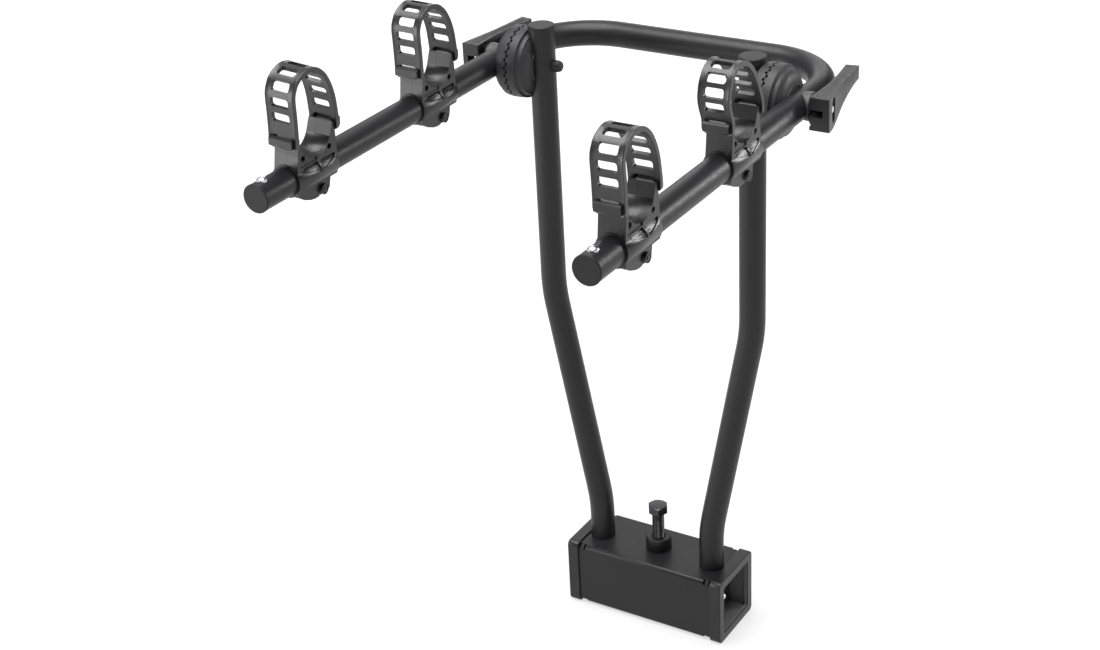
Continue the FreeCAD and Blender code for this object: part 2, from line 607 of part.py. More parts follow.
def cradle_shape():
    outline = [(cradle_front - 2.5, -12), (cradle_rear, -12), (cradle_rear + 1, 6),
               (cradle_rear - 1.8, 40), (cradle_rear - 3.4, 49), (cradle_front + 2, 49),
               (cradle_front + 0.6, 30), (cradle_front - 2, 8)]
    block = side_prism(outline, -half_width, half_width)
    tapered = [(half_width, -13), (half_width, 5), (13.6, 20), (13.3, 24), (10, 38), (10, 50)]
    tapered += [(-x, z) for x, z in reversed(tapered)]
    web = Part.Face(Part.makePolygon([Vector(x, -60, z) for x, z in tapered + tapered[:1]]))
    body = block.common(web.extrude(Vector(0, 60, 0)))
    body = body.fuse(block.common(box_between((-half_width, 0, -13), (half_width, 60, 50))))
    for thickness, half, height in ((4, half_width, 49), (7, 14.3, 37)):
        flange = side_prism([(cradle_front - 4, -12), (cradle_front - 2.5 + thickness, -12),
                             (cradle_front + 1 + thickness, height), (cradle_front - 4, height)], -half, half)
        body = body.fuse(block.common(flange))
    saddle_z = saddle_level + saddle_radius
    slope = math.radians(size("cradle_saddle_slope"))
    low = (saddle_radius * math.cos(slope), saddle_z - saddle_radius * math.sin(slope))
    high = (low[0] + 40 * math.tan(slope), low[1] + 40)
    saddle = rod(saddle_radius, (-60, 0, saddle_z), (60, 0, saddle_z))
    throat = side_prism([(-low[0], low[1]), low, high, (-high[0], high[1])], -60, 60)
    body = body.cut(saddle).cut(throat)
    band = rod(band_radius, (0, cradle_front - 2.5, 0), (0, cradle_rear, 0))
    body = body.fuse(band).fuse(box_between((-half_width, -30, 14.4), (half_width, 31, 16)))
    round_lug = [(-24, -10), (-23.7, -22.3), (-17.2, -26.8), (-6, -31),
                 (2, -32.4), (8.7, -32), (9.5, -29), (9.5, -10)]
    square_lug = [(10.5, -10), (10.5, -31.5), (24, -31), (27.5, -27.8), (30, -14.9), (30, -10)]
    for lug, half in ((round_lug, 9), (square_lug, 9), ([(9, -10), (9, -28), (11, -28), (11, -10)], 8)):
        body = body.fuse(side_prism(lug, -half, half))
    body = body.fuse(rod(6, (-12.5, screw_y, screw_z), (12.5, screw_y, screw_z)))
    pocket_floor = rod(band_radius - 1.2, (0, -60, 0), (0, 60, 0))
    for side, end in ((-half_width - 10, -3), (3, half_width + 10)):
        near_pocket = [(-23, 13.8), (-23, 9.3), (4.5, 2), (0, 13.8)]
        far_pocket = [(5.6, 13.8), (30, 13.8), (30, 9.3), (8, 2.3)]
        for corners in (near_pocket, far_pocket):
            body = body.cut(side_prism(corners, side, end).cut(pocket_floor))
    for y in (-21.3, 21.3):
        body = body.cut(rod(3.3, (-40, y, 23.6), (40, y, 23.6)))
    for sign in (-1, 1):
        face = cradle_front if sign < 0 else cradle_rear
        stem_y = sorted((face - sign * 4, face + sign * 6))
        stem = box_between((-10, stem_y[0], 43), (10, stem_y[1], 49))
        bar_y = sorted((face + sign * 4.6, face + sign * 9))
        bar = box_between((-15, bar_y[0], 41), (15, bar_y[1], 52))
        top_edges = [edge for edge in bar.Edges if edge.BoundBox.XLength > 29 and edge.BoundBox.ZMin > 51
                     and abs(edge.BoundBox.Center.y - (face + sign * 9)) < 0.01]
        low_edges = [edge for edge in bar.Edges if edge.BoundBox.XLength > 29 and edge.BoundBox.ZMax < 42
                     and abs(edge.BoundBox.Center.y - (face + sign * 9)) < 0.01]
        bar = bar.makeChamfer(2.2, top_edges).makeChamfer(0.8, low_edges)
        body = body.fuse(stem).fuse(bar)
    body = body.cut(rod(tube_radius + 0.15, (0, -60, 0), (0, 60, 0)))
    body = body.cut(box_between((-1.2, -60, -40), (1.2, 60, -10)))
    screw_radius = size("cradle_screw_diameter") / 2
    body = body.cut(rod(screw_radius, (-40, screw_y, screw_z), (40, screw_y, screw_z)))
    body = body.cut(rod(4.6, (-40, screw_y, screw_z), (-9, screw_y, screw_z)))
    body = body.cut(rod(4.6, (9, screw_y, screw_z), (40, screw_y, screw_z)))
    return body.removeSplitter()


# Rubber ladder straps that arch over the saddle from hook to hook
# One is a little longer and one is pulled to the front
strap_foot = 38
upright_arch = [(-34.8, 38), (-34.8, 52), (-35.2, 66), (-36.4, 84), (-36.6, 97), (-31.5, 108), (-21, 114.8),
                (-9.5, 117), (3, 114), (14.5, 105.5), (24, 91.5), (30, 76), (33.4, 58), (34.9, 47), (35.5, 38)]
pulled_arch = [(-34.8, 38), (-34.8, 45), (-35, 52), (-37.5, 59), (-42, 69.5), (-43.5, 82), (-39.5, 95),
               (-30, 105.5), (-17, 110), (-3, 106.5), (10, 96.5), (20.5, 82), (29, 66), (34.7, 50), (35.5, 38)]


def strap_shape(strap_path, stretch):
    half_thick = size("strap_thickness") / 2
    centre = Part.BSplineCurve()
    centre.interpolate([Vector(0, y, strap_foot + (z - strap_foot) * stretch) for y, z in strap_path])
    length = centre.length()
    outer_points = []
    inner_points = []
    for number in range(25):
        place = centre.parameterAtDistance(length * number / 24, centre.FirstParameter)
        point = centre.value(place)
        tangent = Vector(*centre.tangent(place)[0])
        side = tangent.cross(Vector(1, 0, 0)).normalize()
        outer_points.append(point + side * half_thick)
        inner_points.append(point - side * half_thick)
    inner_points.reverse()
    outline = Part.Wire([
        spline(outer_points), Part.LineSegment(outer_points[-1], inner_points[0]).toShape(),
        spline(inner_points), Part.LineSegment(inner_points[-1], outer_points[0]).toShape()])
    half = size("strap_width") / 2
    strap = Part.Face(outline).extrude(Vector(2 * half, 0, 0))
    strap.translate(Vector(-half, 0, 0))
    slot_half = size("strap_slot_width") / 2
    hook_reach = 10
    hook_slot = 11.5
    first = (hook_reach + 24) * stretch
    last = (hook_reach + 18) * stretch
    spacing = (length - first - last) / 8
    slots = [(hook_reach, hook_slot)] + [(first + spacing * n, size("strap_slot_length")) for n in range(9)]
    slots.append((length - hook_reach, hook_slot))
    for reach, slot_length in slots:
        place = centre.parameterAtDistance(reach, centre.FirstParameter)
        point = centre.value(place)
        tangent = Vector(*centre.tangent(place)[0])
        slot = box_between((-slot_half, -8, -slot_length / 2), (slot_half, 8, slot_length / 2))
        slot = slot.makeFillet(2.6, [edge for edge in slot.Edges if edge.BoundBox.YLength > 15])
        slot.Placement = Placement(point, Rotation(Vector(0, 0, 1), tangent))
        strap = strap.cut(slot)
    return strap


def screw_shape():
    radius = size("cradle_screw_diameter") / 2
    profile = [(-9, 0, 0), (-12, 0, 0), (-12, 4.4, 0), (-9, 4.4, 0), (-9, radius, 0),
               (12.8, radius, 0), (12.8, 0, 0)]
    screw = revolved(profile[1:], (0, 0, 0), (1, 0, 0))
    socket = rod(2, (-13, 0, 0), (-10.2, 0, 0))
    return screw.cut(socket)


def nut_shape():
    radius = size("cradle_screw_diameter") / 2
    corner = 4.5
    corners = [Vector(9, corner * math.cos(math.radians(60 * n)), corner * math.sin(math.radians(60 * n)))
               for n in range(6)]
    nut = Part.Face(Part.makePolygon(corners + corners[:1])).extrude(Vector(3.2, 0, 0))
    return nut.cut(rod(radius, (0, 0, 0), (20, 0, 0)))


cradle = cradle_shape()
straps = {
    "front_left": strap_shape(upright_arch, 1.04),
    "front_right": strap_shape(upright_arch, 1),
    "rear_left": strap_shape(upright_arch, 1),
    "rear_right": strap_shape(pulled_arch, 1),
}
cradle_screw = screw_shape()
cradle_nut = nut_shape()
for station in ("front_left", "front_right", "rear_left", "rear_right"):
    x = -arm_x if station.endswith("left") else arm_x
    lean = Rotation(Vector(0, 1, 0), size(f"{station}_lean"))
    seat = Placement(Vector(x, size(f"{station}_setback") - size("arm_reach"), axis_z), lean)
    screw_seat = seat * Placement(Vector(0, screw_y, screw_z), Rotation())
    add_shape(f"cradle_{station}", cradle, seat)
    add_shape(f"strap_{station}", straps[station], seat)
    add_shape(f"cradle_screw_{station}", cradle_screw, screw_seat)
    add_shape(f"cradle_nut_{station}", cradle_nut, screw_seat)

doc.recompute()
for item in doc.Objects:
    if "Invalid" in item.State or "Error" in item.State:
        raise RuntimeError(f"{item.Label} did not build: {item.State}")

os.makedirs("parts", exist_ok=True)
for piece in pieces:
    if piece.Shape.isNull() or not piece.Shape.isValid():
        raise RuntimeError(f"{piece.Label} has no valid shape")
    piece.Shape.exportStep(f"parts/{piece.Label}.step")
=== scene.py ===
import math
import bpy
import numpy as np
from mathutils import Matrix, Vector


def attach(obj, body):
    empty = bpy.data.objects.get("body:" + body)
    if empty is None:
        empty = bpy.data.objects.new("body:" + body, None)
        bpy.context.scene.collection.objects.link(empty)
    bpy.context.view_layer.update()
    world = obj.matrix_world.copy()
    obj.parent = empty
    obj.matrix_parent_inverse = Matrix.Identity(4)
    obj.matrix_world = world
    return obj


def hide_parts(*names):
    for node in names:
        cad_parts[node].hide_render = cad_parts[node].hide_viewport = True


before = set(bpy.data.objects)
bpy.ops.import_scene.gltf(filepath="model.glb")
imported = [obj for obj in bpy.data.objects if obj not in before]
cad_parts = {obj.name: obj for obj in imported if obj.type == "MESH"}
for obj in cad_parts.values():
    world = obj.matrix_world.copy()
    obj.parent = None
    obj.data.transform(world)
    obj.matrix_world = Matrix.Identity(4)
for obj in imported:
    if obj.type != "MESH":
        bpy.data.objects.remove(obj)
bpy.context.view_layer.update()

# The studio: a white sweep under the carrier in a pale room, seen by one camera from the front
# right. A large soft light hangs overhead, a wide one stands at the front left, and weaker ones
# stand at the right, behind, and close by at the right rear.
scene = bpy.context.scene
scene.view_settings.view_transform = "Standard"


def between(tree, value, low, high, start=0.3, end=0.7):
    """Returns low where the value is start, high where it is end, and evenly between."""
    spread = tree.nodes.new("ShaderNodeMapRange")
    spread.inputs["From Min"].default_value = start
    spread.inputs["From Max"].default_value = end
    spread.inputs["To Min"].default_value = low
    spread.inputs["To Max"].default_value = high
    tree.links.new(value, spread.inputs["Value"])
    return spread.outputs["Result"]


sweep_size = 60
sweep_drop = 0.0004
sweep_colour = (0.26, 0.26, 0.262, 1)
bpy.ops.mesh.primitive_grid_add(x_subdivisions=24, y_subdivisions=24, size=sweep_size,
                                location=(0, 0, -sweep_drop))
floor = bpy.context.object
floor.name = "studio_floor"
floor_paint = bpy.data.materials.new("white_sweep")
floor_paint.use_nodes = True
floor_tree = floor_paint.node_tree
floor_shader = floor_tree.nodes["Principled BSDF"]
floor_shader.inputs["Base Color"].default_value = sweep_colour
floor_shader.inputs["Roughness"].default_value = 0.9
floor_shader.inputs["Specular IOR Level"].default_value = 0.05
floor_shader.inputs["Emission Color"].default_value = (1, 1, 1, 1)
floor_place = floor_tree.nodes.new("ShaderNodeTexCoord")
floor_reach = floor_tree.nodes.new("ShaderNodeVectorMath")
floor_reach.operation = "LENGTH"
floor_tree.links.new(floor_place.outputs["Object"], floor_reach.inputs[0])
floor_glow = between(floor_tree, floor_reach.outputs["Value"], low=0.62, high=0.99, start=0.4, end=3.0)
floor_tree.links.new(floor_glow, floor_shader.inputs["Emission Strength"])
floor.data.materials.append(floor_paint)

room = bpy.data.worlds.new("pale_room")
scene.world = room
room.use_nodes = True
room_tree = room.node_tree
room_light = room_tree.nodes["Background"]
room_light.inputs["Color"].default_value = (0.98, 0.985, 1.0, 1)
room_way = room_tree.nodes.new("ShaderNodeTexCoord")
room_side = room_tree.nodes.new("ShaderNodeSeparateXYZ")
room_tree.links.new(room_way.outputs["Generated"], room_side.inputs["Vector"])
room_glow = between(room_tree, room_side.outputs["X"], low=0.34, high=0.08, start=-0.6, end=0.7)
room_tree.links.new(room_glow, room_light.inputs["Strength"])

# Each light's place, what it is aimed at, its width and height, and its power.
soft_lights = {
    "ceiling_light": ((-0.3, -0.4, 3.8), (0, 0, 0.4), (3.5, 2.9), 280),
    "front_left_light": ((-2.1, -2.3, 0.7), (0, -0.2, 0.4), (1.3, 1.9), 56),
    "right_tall_light": ((2.6, -0.6, 1.3), (0, -0.1, 0.6), (0.7, 2.0), 7),
    "rear_light": ((-1.8, 4.0, 2.2), (0, 0, 0.3), (3.1, 1.5), 32),
    "right_rear_strip": ((0.96, 0.8, 1.0), (0.3, -0.6, 0.8), (0.42, 0.34), 8),
}
for name, (place, target, shape, power) in soft_lights.items():
    lamp = bpy.data.lights.new(name, "AREA")
    lamp.shape = "RECTANGLE"
    lamp.size, lamp.size_y = shape
    lamp.energy = power
    holder = bpy.data.objects.new(name, lamp)
    scene.collection.objects.link(holder)
    holder.location = place
    holder.rotation_euler = (Vector(target) - Vector(place)).to_track_quat("-Z", "Y").to_euler()
    holder.visible_camera = False

lens = bpy.data.cameras.new("front_right_camera")
lens.sensor_width = 36
lens.lens = 62.81
camera = bpy.data.objects.new("front_right_camera", lens)
scene.collection.objects.link(camera)
camera_place = (1.04041, -1.87202, 1.52647)
camera_right = Vector((0.85489254, 0.51667877, -0.04692315))
camera_up = Vector((-0.20033078, 0.41218405, 0.88880363))
camera_back = camera_right.cross(camera_up)
camera_turn = Matrix((camera_right, camera_up, camera_back)).transposed().to_4x4()
camera.matrix_world = Matrix.Translation(camera_place) @ camera_turn
scene.camera = camera

# The base box: a length of square steel tube, cut off, punched and powder coated in satin black.
# The boss for the clamp bolt is welded on its top and coated with it.


def finish_nodes(name, metallic=0.0):
    material = bpy.data.materials.new(name)
    material.use_nodes = True
    tree = material.node_tree
    shader = tree.nodes["Principled BSDF"]
    shader.inputs["Metallic"].default_value = metallic
    places = tree.nodes.new("ShaderNodeTexCoord").outputs["Object"]
    return material, tree, shader, places


def grain(tree, places, scale, detail=3.0):
    noise = tree.nodes.new("ShaderNodeTexNoise")
    noise.inputs["Scale"].default_value = scale
    noise.inputs["Detail"].default_value = detail
    tree.links.new(places, noise.inputs["Vector"])
    return noise.outputs["Fac"]


def two_colours(tree, value, dark, light, start=0.3, end=0.7):
    """Returns dark where the value is start, light where it is end, and a blend between."""
    ramp = tree.nodes.new("ShaderNodeValToRGB")
    ramp.color_ramp.elements[0].position = start
    ramp.color_ramp.elements[0].color = (*dark, 1)
    ramp.color_ramp.elements[1].position = end
    ramp.color_ramp.elements[1].color = (*light, 1)
    tree.links.new(value, ramp.inputs["Fac"])
    return ramp.outputs["Color"]


def raised_by(tree, shader, value, height, strength):
    bump = tree.nodes.new("ShaderNodeBump")
    bump.inputs["Distance"].default_value = height
    bump.inputs["Strength"].default_value = strength
    tree.links.new(value, bump.inputs["Height"])
    tree.links.new(bump.outputs["Normal"], shader.inputs["Normal"])


box_middle = 0.047


def inner_share(tree, places, half_x, half_side):
    """Returns 1 for places in the hollow of the box and 0 outside it, marking where light is painted
    inside.
    """
    lowered = tree.nodes.new("ShaderNodeVectorMath")
    lowered.operation = "SUBTRACT"
    lowered.inputs[1].default_value = (0, 0, box_middle)
    tree.links.new(places, lowered.inputs[0])
    spread = tree.nodes.new("ShaderNodeVectorMath")
    spread.operation = "ABSOLUTE"
    tree.links.new(lowered.outputs["Vector"], spread.inputs[0])
    parts = tree.nodes.new("ShaderNodeSeparateXYZ")
    tree.links.new(spread.outputs["Vector"], parts.inputs["Vector"])
    share = None
    for axis, limit in (("X", half_x), ("Y", half_side), ("Z", half_side)):
        within = tree.nodes.new("ShaderNodeMath")
        within.operation = "LESS_THAN"
        within.inputs[1].default_value = limit
        tree.links.new(parts.outputs[axis], within.inputs[0])
        if share is None:
            share = within.outputs["Value"]
            continue
        both = tree.nodes.new("ShaderNodeMath")
        both.operation = "MULTIPLY"
        tree.links.new(share, both.inputs[0])
        tree.links.new(within.outputs["Value"], both.inputs[1])
        share = both.outputs["Value"]
    return share


def mixed(tree, share, outer, inner):
    """Returns the outer colour where the share is 0 and the inner one where it is 1."""
    mix = tree.nodes.new("ShaderNodeMix")
    mix.data_type = "RGBA"
    factor, first_colour, second_colour = mix.inputs[0], mix.inputs[6], mix.inputs[7]
    tree.links.new(share, factor)
    tree.links.new(outer, first_colour)
    second_colour.default_value = (*inner, 1)
    return mix.outputs[2]


def powder_coat(name, hollow=False):
    material, tree, shader, places = finish_nodes(name)
    colour = two_colours(tree, grain(tree, places, scale=14),
                         dark=(0.0082, 0.0079, 0.0087), light=(0.0112, 0.0108, 0.0119))
    # Painted light: with hollow set, the inside of the box is painted pale grey to stand in for the light
    # that comes in at its open ends.
    if hollow:
        in_box = inner_share(tree, places, half_x=0.2, half_side=0.0414)
        colour = mixed(tree, in_box, colour, inner=(0.17, 0.168, 0.172))
    tree.links.new(colour, shader.inputs["Base Color"])
    rough = between(tree, grain(tree, places, scale=260), low=0.36, high=0.47)
    tree.links.new(rough, shader.inputs["Roughness"])
    raised_by(tree, shader, grain(tree, places, scale=1500, detail=4), height=0.00006, strength=0.35)
    shader.inputs["Specular IOR Level"].default_value = 0.28
    return material


def soft_edges(piece, width, angle):
    """Rounds the edges that are sharper than the angle."""
    rounding = piece.modifiers.new("soft_edges", "BEVEL")
    rounding.width = width
    rounding.segments = 2
    rounding.limit_method = "ANGLE"
    rounding.angle_limit = math.radians(angle)
    rounding.harden_normals = True
    rounding.use_clamp_overlap = True


def dressed(node, material, edge=0.0, angle=32):
    """Gives a piece from the CAD its finish, and rounds its edges to the width in edge."""
    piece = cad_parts[node]
    if not piece.material_slots:
        piece.data.materials.append(material)
    for place in piece.material_slots:
        place.material = material
    if edge:
        weld = piece.modifiers.new("one_skin", "WELD")
        weld.merge_threshold = 0.00002
        soft_edges(piece, edge, angle)


coat = powder_coat("satin_powder_coat")
# The box's inside gets painted light: a pale grey for the light that comes in at the open ends.
dressed("base_box", powder_coat("coat_with_painted_light_inside", hollow=True), edge=0.0005)
dressed("clamp_boss", coat, edge=0.0004)

# The end frames: square frames moulded in black plastic, pressed into both ends of the box
# and held by small barbs in its corners.


def satin_plastic(name, dark, light, rough, grain_height, shine, painted_light_inside=False):
    material, tree, shader, places = finish_nodes(name)
    colour = two_colours(tree, grain(tree, places, scale=60), dark, light)
    # Painted light: when this flag is set, the frame's inner faces are painted pale grey to stand in for
    # the light that comes in at the box's open ends.
    if painted_light_inside:
        in_box = inner_share(tree, places, half_x=0.1128, half_side=0.0385)
        colour = mixed(tree, in_box, colour, inner=(0.15, 0.148, 0.152))
    tree.links.new(colour, shader.inputs["Base Color"])
    mottled = between(tree, grain(tree, places, scale=420), low=rough - 0.05, high=rough + 0.06)
    tree.links.new(mottled, shader.inputs["Roughness"])
    raised_by(tree, shader, grain(tree, places, scale=2600, detail=2), grain_height, strength=0.4)
    shader.inputs["Specular IOR Level"].default_value = shine
    return material


# The frames' inner faces get the same painted light as the inside of the box.
frame_plastic = satin_plastic("frame_plastic", (0.0075, 0.0073, 0.0080), (0.0105, 0.0102, 0.0112),
                              rough=0.36, grain_height=0.00005, shine=0.34, painted_light_inside=True)
for side in ("left", "right"):
    dressed(f"end_frame_{side}", frame_plastic, edge=0.0006)

# The uprights: round steel tube bent twice, coated like the box, riveted through the box
# and closed by moulded caps on top. The rivets are bright zinc.


def bright_zinc():
    material, tree, shader, places = finish_nodes("bright_zinc", metallic=1.0)
    colour = two_colours(tree, grain(tree, places, scale=700),
                         dark=(0.60, 0.60, 0.62), light=(0.80, 0.80, 0.81))
    tree.links.new(colour, shader.inputs["Base Color"])
    rough = between(tree, grain(tree, places, scale=1800), low=0.22, high=0.38)
    tree.links.new(rough, shader.inputs["Roughness"])
    raised_by(tree, shader, grain(tree, places, scale=1400, detail=2), height=0.00005, strength=0.4)
    return material


cap_plastic = satin_plastic("cap_plastic", (0.0095, 0.0092, 0.0102), (0.0135, 0.0131, 0.0145),
                            rough=0.50, grain_height=0.00006, shine=0.22)
zinc = bright_zinc()
for side in ("left", "right"):
    dressed(f"upright_{side}", coat)
    dressed(f"upright_cap_{side}", cap_plastic, edge=0.0005)
dressed("foot_rivets", zinc, edge=0.0002)

# The carrying frame: one long steel tube bent to a flat U, coated in the same satin black,
# with a moulded plug in each open end and a bright rivet near it as a stop for the cradles.
dressed("carrying_frame", coat)
for side in ("left", "right"):
    dressed(f"arm_end_cap_{side}", cap_plastic, edge=0.0004)
dressed("stop_rivets", zinc, edge=0.0003)

# The knuckle hubs: glass filled plastic with a speckled matte skin, each in two turned halves
# whose staggered teeth meet at the parting line. A bright bolt under a moulded cap goes through
# both, one half stays with the upright, and the other turns with the arm on a paler washer.


def speckled_plastic(name, dark, light, rough, shine):
    material, tree, shader, places = finish_nodes(name)
    colour = two_colours(tree, grain(tree, places, scale=1300), dark, light, start=0.38, end=0.66)
    tree.links.new(colour, shader.inputs["Base Color"])
    mottled = between(tree, grain(tree, places, scale=300), low=rough - 0.06, high=rough + 0.08)
    tree.links.new(mottled, shader.inputs["Roughness"])
    raised_by(tree, shader, grain(tree, places, scale=900, detail=4), height=0.0001, strength=0.45)
    shader.inputs["Specular IOR Level"].default_value = shine
    return material


def meshed(name, points, faces, material, smooth):
    """Makes a piece from points in millimetres, shaded smooth where faces meet within the angle."""
    mesh = bpy.data.meshes.new(name)
    mesh.from_pydata([Vector(p) / 1000 for p in points], [], faces)
    mesh.update()
    piece = bpy.data.objects.new(name, mesh)
    scene.collection.objects.link(piece)
    mesh.materials.append(material)
    bpy.context.view_layer.objects.active = piece
    piece.select_set(True)
    bpy.ops.object.shade_smooth_by_angle(angle=math.radians(smooth))
    piece.select_set(False)
    return piece


hub_plastic = speckled_plastic("hub_plastic", (0.0105, 0.0102, 0.0112), (0.024, 0.0234, 0.0255),
                               rough=0.50, shine=0.36)
washer_plastic = speckled_plastic("washer_plastic", (0.03, 0.03, 0.031), (0.055, 0.054, 0.057),
                                  rough=0.5, shine=0.4)
arm_level = 750
fold_y = -6
parting = 167.0
tooth_count = 28
tooth_turn = 2 * math.pi / tooth_count
pocket_share = 0.19
tooth_columns = (-pocket_share, pocket_share, 0.39, 0.61)
pocket_row = 2
pocket_depth = 3.2

# The outline of a half, as (distance from the parting line, radius).
hub_profile = [(0.15, 12.0), (0.15, 43.2), (0.55, 43.8), (2.45, 43.9), (7.0, 43.6), (11.2, 43.1),
               (11.9, 42.3), (12.0, 40.9), (13.0, 39.8), (14.6, 39.1), (16.6, 38.9), (17.7, 38.3),
               (17.9, 36.6), (19.0, 35.6), (20.6, 34.2), (22.2, 31.6), (23.3, 28.2), (24.0, 24.0),
               (24.1, 22.9), (25.2, 22.5), (25.4, 21.2), (24.6, 20.6), (24.5, 4.2)]


def toothed_half(direction, shift):
    """Returns points and faces of one turned half, with a ring of pockets beside the parting plane."""
    turns = []
    for tooth in range(tooth_count):
        turns += [tooth_turn * (tooth + shift + share) for share in tooth_columns]
    columns = len(turns)
    points = []
    faces = []
    for depth, radius in hub_profile:
        points += [(direction * depth, radius * math.sin(a), radius * math.cos(a)) for a in turns]
    for row in range(len(hub_profile) - 1):
        for column in range(columns):
            ahead = (column + 1) % columns
            corners = [row * columns + column, row * columns + ahead,
                       (row + 1) * columns + ahead, (row + 1) * columns + column]
            if row != pocket_row or column % len(tooth_columns):
                faces.append(corners)
                continue
            floor_corners = []
            for corner in corners:
                x, y, z = points[corner]
                inward = 1 - pocket_depth / math.hypot(y, z)
                floor_corners.append(len(points))
                points.append((x, y * inward, z * inward))
            for n in range(4):
                following = (n + 1) % 4
                faces.append([corners[n], corners[following], floor_corners[following], floor_corners[n]])
            faces.append(floor_corners)
    if direction > 0:
        faces = [face[::-1] for face in faces]
    return points, faces


dressed("pivot_bolts", zinc)
for side, sign in (("left", -1), ("right", 1)):
    dressed(f"pivot_bolt_cap_{side}", cap_plastic, edge=0.0003)
    halves = (("upright_hub", "base", -sign, 0), ("arm_hub", "arms", sign, 0.5))
    for half, body, direction, shift in halves:
        points, faces = toothed_half(direction, shift)
        places = [(sign * parting + x, y + fold_y, z + arm_level) for x, y, z in points]
        toothed = meshed(f"toothed_{half}_{side}", places, faces, hub_plastic, smooth=30)
        soft_edges(toothed, width=0.0002, angle=28)
        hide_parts(f"{half}_{side}")
        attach(toothed, body)
    dressed(f"saddle_washer_{side}", washer_plastic, edge=0.0004)

# The cam levers: moulded in a smoother plastic than the hubs, each turning on a bright barrel
# nut. Three low grip ridges run along the top of each.


def raised_lines(lines, half_width, height):
    """Returns points and faces of low ridges; each line is a list of (place, outward) pairs."""
    sunk = 0.3
    crown_share = 0.35
    points = []
    faces = []
    for line in lines:
        first = len(points)
        for n, (place, outward) in enumerate(line):
            ahead = line[min(n + 1, len(line) - 1)][0] - line[max(n - 1, 0)][0]
            side = ahead.cross(outward).normalized() * half_width
            points += [place + side - outward * sunk, place + side * crown_share + outward * height,
                       place - side * crown_share + outward * height, place - side - outward * sunk]
        for ring in range(first, len(points) - 4, 4):
            for k in range(4):
                following = (k + 1) % 4
                faces.append((ring + k, ring + 4 + k, ring + 4 + following, ring + following))
        last = len(points) - 4
        faces.append((first, first + 1, first + 2, first + 3))
        faces.append((last + 3, last + 2, last + 1, last))
    return points, faces


lever_plastic = speckled_plastic("lever_plastic", (0.008, 0.0078, 0.0086), (0.017, 0.0166, 0.018),
                                 rough=0.40, shine=0.26)
lever_seat = 231
lever_top = 769
lever_inner = np.polyfit([-20.5, 5, 33, 61, 94], [-12.3, -10.7, -10.8, -13.2, -18], 3)
lever_outer = np.polyfit([-20.5, 8, 39, 66, 97], [12, 7.2, 2.6, 0.2, -2.5], 3)
ridge_start, ridge_end, ridge_steps = -15, 90, 16
ridge_shares = (0.26, 0.47, 0.68)
for side, sign in (("left", -1), ("right", 1)):
    dressed(f"cam_lever_{side}", lever_plastic, edge=0.0006, angle=30)
    dressed(f"barrel_nut_{side}", zinc, edge=0.0002)
    lines = []
    for share in ridge_shares:
        line = []
        for y in np.linspace(ridge_start, ridge_end, ridge_steps):
            x = (1 - share) * np.polyval(lever_inner, y) + share * np.polyval(lever_outer, y)
            line.append((Vector((sign * (lever_seat + x), y + fold_y, lever_top)), Vector((0, 0, 1))))
        lines.append(line)
    points, faces = raised_lines(lines, half_width=0.8, height=0.35)
    ridges = meshed(f"lever_ridges_{side}", points, faces, lever_plastic, smooth=25)
    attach(ridges, f"lever_{side}")

# The clamp bolt: a hexagon bolt in blackened steel, threaded along its whole shank down to a
# plain point. It screws through the boss to press on the tow ball.


def black_steel():
    material, tree, shader, places = finish_nodes("black_steel", metallic=0.85)
    colour = two_colours(tree, grain(tree, places, scale=500),
                         dark=(0.03, 0.03, 0.032), light=(0.065, 0.065, 0.068))
    tree.links.new(colour, shader.inputs["Base Color"])
    rough = between(tree, grain(tree, places, scale=900), low=0.24, high=0.40)
    tree.links.new(rough, shader.inputs["Roughness"])
    raised_by(tree, shader, grain(tree, places, scale=1800, detail=3), height=0.00004, strength=0.4)
    return material


steel = black_steel()
bolt_tip = 68.0
tip_radius = 5.2
point_radius = 6.0
point_chamfer = 0.9
point_length = 8
thread_start = 8.1
thread_stop = 0.6
thread_pitch = 2.0
thread_root = 7.15
thread_height = 0.85
crest_width = 1.35
levels_per_pitch = 7
neck_radius = 7.7
neck_length = 3
under_head_radius = 7.9
head_base = 148.0
head_top = 158.0
head_rise = 0.05
half_flats = 12.0
under_chamfer_from = 12.4
top_chamfer_from = 11.5
face_radius = 11.3
crown_radius = 10.6
centre_radius = 0.01
chamfer = math.tan(math.radians(30))
steps = 60
points = []


def add_ring(radii, heights):
    for number in range(steps):
        angle = 2 * math.pi * number / steps
        points.append((radii[number] * math.cos(angle), radii[number] * math.sin(angle), heights[number]))


def round_ring(radius, height):
    add_ring([radius] * steps, [height] * steps)


round_ring(centre_radius, bolt_tip)
round_ring(tip_radius, bolt_tip)
round_ring(point_radius, bolt_tip + point_chamfer)
round_ring(point_radius, bolt_tip + point_length)
level = bolt_tip + thread_start
while level < head_base - thread_stop:
    in_neck = level >= head_base - neck_length
    radii = []
    for number in range(steps):
        phase = (level / thread_pitch - number / steps) % 1.0
        crest = min(1.0, (1 - abs(2 * phase - 1)) * crest_width)
        radii.append(neck_radius if in_neck else thread_root + thread_height * crest)
    add_ring(radii, [level] * steps)
    level += thread_pitch / levels_per_pitch
flats = []
for number in range(steps):
    angle = (2 * math.pi * number / steps) % (math.pi / 3) - math.pi / 6
    flats.append(half_flats / math.cos(angle))
round_ring(under_head_radius, head_base)
round_ring(face_radius, head_base)
add_ring(flats, [head_base + max(0.0, r - under_chamfer_from) * chamfer for r in flats])
add_ring(flats, [head_top - max(0.0, r - top_chamfer_from) * chamfer for r in flats])
round_ring(face_radius, head_top)
round_ring(crown_radius, head_top + head_rise)
round_ring(centre_radius, head_top + head_rise)
faces = []
